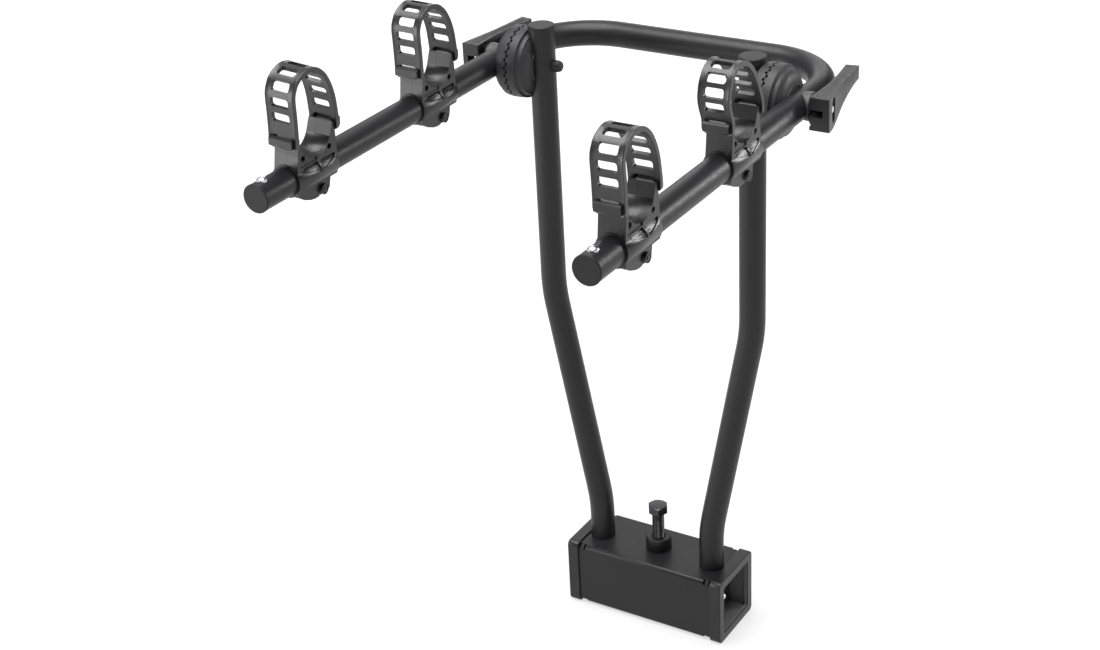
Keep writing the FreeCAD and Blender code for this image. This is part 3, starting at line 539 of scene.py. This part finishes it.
for ring in range(len(points) // steps - 1):
    for number in range(steps):
        following = (number + 1) % steps
        faces.append((ring * steps + number, ring * steps + following,
                      (ring + 1) * steps + following, (ring + 1) * steps + number))
threaded_bolt = meshed("threaded_clamp_bolt", points, faces, steel, smooth=25)
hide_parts("clamp_bolt")
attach(threaded_bolt, "tightening_bolt")

# The cradles: moulded in glossy black plastic, each clamped round the arm by a blackened steel
# screw and nut. Fine mould lines run down the plate and the bar at the front and round the
# saddle.


def glossy_plastic():
    material, tree, shader, places = finish_nodes("glossy_cradle_plastic")
    colour = two_colours(tree, grain(tree, places, scale=40),
                         dark=(0.006, 0.0058, 0.0064), light=(0.009, 0.0087, 0.0096))
    tree.links.new(colour, shader.inputs["Base Color"])
    rough = between(tree, grain(tree, places, scale=30), low=0.29, high=0.34)
    tree.links.new(rough, shader.inputs["Roughness"])
    raised_by(tree, shader, grain(tree, places, scale=25, detail=0), height=0.00010, strength=0.05)
    shader.inputs["Specular IOR Level"].default_value = 0.42
    return material


gloss = glossy_plastic()

# The mould lines of an upright cradle, as (place, outward) along each, from the arm's middle.
saddle_radius = 24
saddle_level = 43
seam_shift = 5
plate_seam = [((0, -33.9, 17.5), (0, -1, 0.07)), ((0, -32.4, 30), (0, -1, 0.07)),
              ((0, -31.9, 37), (0, -1, 0.07))]
bar_seam = [((0, -42, 42.2), (0, -1, 0)), ((0, -42, 49.4), (0, -1, 0))]
saddle_seam = [((-seam_shift, 27.6, 48.6), (0, -0.94, 0.34))]
for degrees in range(-20, -151, -10):
    cosine, sine = math.cos(math.radians(degrees)), math.sin(math.radians(degrees))
    x = -seam_shift + min(seam_shift, -degrees / 14)
    place = (x, saddle_radius * cosine, saddle_level + saddle_radius * sine)
    saddle_seam.append((place, (0, -cosine, -sine)))

# Each cradle's place across and along, its lean in degrees, and its strap's height as a share.
stations = {
    "front_left": (-198.5, -397, 4.0, 1.04),
    "front_right": (198.5, -400.5, 0.0, 1.0),
    "rear_left": (-198.5, -165, 1.5, 1.0),
    "rear_right": (198.5, -174, 0.0, 1.0),
}
for station, (x_seat, y_seat, lean, _) in stations.items():
    dressed(f"cradle_{station}", gloss, edge=0.0005, angle=30)
    dressed(f"cradle_screw_{station}", steel, edge=0.0002)
    dressed(f"cradle_nut_{station}", steel, edge=0.0002)
    turn = Matrix.Rotation(math.radians(lean), 3, "Y")
    seat = Vector((x_seat, y_seat, arm_level))
    seams = [[(turn @ Vector(place) + seat, turn @ Vector(outward)) for place, outward in line]
             for line in (plate_seam, bar_seam, saddle_seam)]
    points, faces = raised_lines(seams, half_width=0.3, height=0.12)
    mould_lines = meshed(f"mould_lines_{station}", points, faces, gloss, smooth=25)
    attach(mould_lines, f"holder_{station}")

# The straps: moulded rubber ladders with a bead along both edges, hooked over the T of the
# cradle at both ends. The one at the rear right is pulled over to the front.


def soft_rubber():
    material, tree, shader, places = finish_nodes("black_rubber")
    colour = two_colours(tree, grain(tree, places, scale=90),
                         dark=(0.0075, 0.0073, 0.0080), light=(0.0115, 0.0112, 0.0122))
    tree.links.new(colour, shader.inputs["Base Color"])
    rough = between(tree, grain(tree, places, scale=500), low=0.30, high=0.42)
    tree.links.new(rough, shader.inputs["Roughness"])
    raised_by(tree, shader, grain(tree, places, scale=1100, detail=3), height=0.00006, strength=0.4)
    return material


def curve_through(knots):
    """Returns points every 0.25 mm along a smooth curve through the knots, and their distances."""
    knots = np.array(knots, float)
    spans = np.linalg.norm(np.diff(knots, axis=0), axis=1)
    count = len(knots)
    system = np.zeros((count, count))
    target = np.zeros((count, 2))
    system[0, 0] = system[-1, -1] = 1
    for n in range(1, count - 1):
        system[n, n - 1:n + 2] = spans[n - 1], 2 * (spans[n - 1] + spans[n]), spans[n]
        target[n] = 6 * ((knots[n + 1] - knots[n]) / spans[n] - (knots[n] - knots[n - 1]) / spans[n - 1])
    bending = np.linalg.solve(system, target)
    fine = []
    for n in range(count - 1):
        for t in np.linspace(0, spans[n], int(spans[n] * 4) + 2)[:-1 if n < count - 2 else None]:
            a, b, h = spans[n] - t, t, spans[n]
            bent = (bending[n] * a ** 3 + bending[n + 1] * b ** 3) / (6 * h)
            fine.append(bent + (knots[n] / h - bending[n] * h / 6) * a
                        + (knots[n + 1] / h - bending[n + 1] * h / 6) * b)
    fine = np.array(fine)
    along = np.concatenate([[0], np.cumsum(np.linalg.norm(np.diff(fine, axis=0), axis=1))])
    return fine, along


rubber = soft_rubber()
half_strap = 18.25
half_ladder = 16.0
strap_half_thickness = 2.5
end_corner = 5.0
half_slot = 11.5
slot_corner = 2.9
slot_length = 10.4
slot_count = 9
hook_reach = 10.0
hook_slot = 11.5
first_slot = 24
last_slot = 18

# The bead's points, as (distance from the middle line, height), with its start at the ladder.
bead_profile = [(half_ladder, 0.0), (16.45, 0.16), (16.95, 0.45), (17.55, 0.5), (18.0, 0.34),
                (18.25, 0.05)]
bead_columns = [x for x, _ in bead_profile]
bead_heights = [height for _, height in bead_profile]
ladder_columns = [-half_ladder, -13.4, -10.7, -5.4, 0.0, 5.4, 10.7, 13.4, half_ladder]

# Where the rows of points stand between two slots' borders, as shares of the way.
row_shares = [0.0, 0.14, 0.28, 0.72, 0.86, 1.0]
first_row_shares = [0.0, 0.08, 0.22, 0.62, 0.80, 1.0]
last_row_shares = [0.0, 0.20, 0.38, 0.78, 0.92, 1.0]

# The two arches, as (forward or back, height) of the strap's middle over the arm's middle.
strap_foot = 38
upright_arch = [(-34.8, 38), (-34.8, 52), (-35.2, 66), (-36.4, 84), (-36.6, 97), (-31.5, 108),
                (-21, 114.8), (-9.5, 117), (3, 114), (14.5, 105.5), (24, 91.5), (30, 76),
                (33.4, 58), (34.9, 47), (35.5, 38)]
pulled_arch = [(-34.8, 38), (-34.8, 45), (-35, 52), (-37.5, 59), (-42, 69.5), (-43.5, 82),
               (-39.5, 95), (-30, 105.5), (-17, 110), (-3, 106.5), (10, 96.5), (20.5, 82),
               (29, 66), (34.7, 50), (35.5, 38)]


def slot_side(length, inner):
    """Returns (along, inward) places of one side of a slot, from mid corner to mid corner."""
    turns = [math.radians(degrees) for degrees in (45, 22.5, 0)]
    arc = [(slot_corner * (1 - math.sin(turn)), slot_corner * (1 - math.cos(turn))) for turn in turns]
    between_corners = length - 2 * slot_corner
    straight = [(slot_corner + between_corners * n / (inner + 1), 0.0) for n in range(1, inner + 1)]
    return arc + straight + [(length - u, v) for u, v in reversed(arc)]


def ladder(length, stretch):
    """Returns the flat strap as points (along, across) and faces, with its slots left open."""
    first = (hook_reach + first_slot) * stretch
    last = (hook_reach + last_slot) * stretch
    spacing = (length - first - last) / (slot_count - 1)
    slots = [(hook_reach, hook_slot)] + [(first + spacing * n, slot_length) for n in range(slot_count)]
    slots.append((length - hook_reach, hook_slot))
    borders = [0.0]
    for (here, size_here), (ahead, size_ahead) in zip(slots, slots[1:]):
        borders.append((here + size_here / 2 + ahead - size_ahead / 2) / 2)
    borders.append(length)
    numbers = {}
    places = []
    quads = []

    def spot(a, x):
        key = (round(a, 3), round(x, 3))
        if key not in numbers:
            numbers[key] = len(places)
            places.append(key)
        return numbers[key]

    for index, (centre, size_along) in enumerate(slots):
        low, high = borders[index], borders[index + 1]
        shares = row_shares
        if index == 0:
            shares = first_row_shares
        elif index == len(slots) - 1:
            shares = last_row_shares
        column = [low + (high - low) * t for t in shares]
        outer = [(low, x) for x in ladder_columns] + [(a, half_ladder) for a in column[1:]]
        outer += [(high, x) for x in ladder_columns[::-1][1:]]
        outer += [(a, -half_ladder) for a in column[::-1][1:-1]]
        start, end = centre - size_along / 2, centre + size_along / 2
        wide = slot_side(2 * half_slot, 3)
        tall = slot_side(end - start, 0)
        hole = [(start + v, -half_slot + u) for u, v in wide[:-1]]
        hole += [(start + u, half_slot - v) for u, v in tall[:-1]]
        hole += [(end - v, half_slot - u) for u, v in wide[:-1]]
        hole += [(end - u, -half_slot + v) for u, v in tall[:-1]]
        ring = [spot(*place) for place in outer]
        rim = [spot(*place) for place in hole]
        for n, here in enumerate(ring):
            ahead = (n + 1) % len(ring)
            quads.append((here, ring[ahead], rim[ahead], rim[n]))
        for sign in (-1, 1):
            for near, far in zip(bead_columns, bead_columns[1:]):
                for a, b in zip(column, column[1:]):
                    corners = [(a, sign * near), (a, sign * far), (b, sign * far), (b, sign * near)]
                    if sign < 0:
                        corners.reverse()
                    quads.append(tuple(spot(*place) for place in corners))
    return places, quads


def bead_height(x):
    return float(np.interp(abs(x), bead_columns, bead_heights))


def rounded_end(a, x, length):
    """Draws the strap's last corners in to a quarter circle."""
    reach = max(0.0, min(a, length - a))
    if reach >= end_corner or abs(x) <= half_slot:
        return x
    limit = half_strap - end_corner + math.sqrt(end_corner ** 2 - (end_corner - reach) ** 2)
    share = (abs(x) - half_slot) / (half_strap - half_slot)
    return math.copysign(half_slot + share * (limit - half_slot), x)


for station, (x_seat, y_seat, lean, stretch) in stations.items():
    arch = pulled_arch if station == "rear_right" else upright_arch
    fine, along = curve_through([(y, strap_foot + (z - strap_foot) * stretch) for y, z in arch])
    length = along[-1]
    flat, quads = ladder(length, stretch)
    turn = Matrix.Rotation(math.radians(lean), 3, "Y")
    seat = Vector((x_seat, y_seat, arm_level))
    skins = []
    for sign, bead_share in ((1, 0.7), (-1, 0.35)):
        for a, x in flat:
            behind, ahead = max(0.0, a - 1.0), min(length, a + 1.0)
            dy = np.interp(ahead, along, fine[:, 0]) - np.interp(behind, along, fine[:, 0])
            dz = np.interp(ahead, along, fine[:, 1]) - np.interp(behind, along, fine[:, 1])
            lift = sign * (strap_half_thickness + bead_height(x) * bead_share) / math.hypot(dy, dz)
            y = np.interp(a, along, fine[:, 0]) - dz * lift
            z = np.interp(a, along, fine[:, 1]) + dy * lift
            skins.append(turn @ Vector((rounded_end(a, x, length), y, z)) + seat)
    count = len(flat)
    faces = [tuple(reversed(q)) for q in quads] + [tuple(i + count for i in q) for q in quads]
    edges = set()
    for quad in quads:
        for a, b in zip(quad, quad[1:] + quad[:1]):
            if (b, a) in edges:
                edges.remove((b, a))
            else:
                edges.add((a, b))
    faces += [(a, b, b + count, a + count) for a, b in sorted(edges)]
    strap = meshed(f"rubber_strap_{station}", skins, faces, rubber, smooth=40)
    soft_edges(strap, width=0.00045, angle=45)
    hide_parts(f"strap_{station}")
    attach(strap, f"holder_{station}")
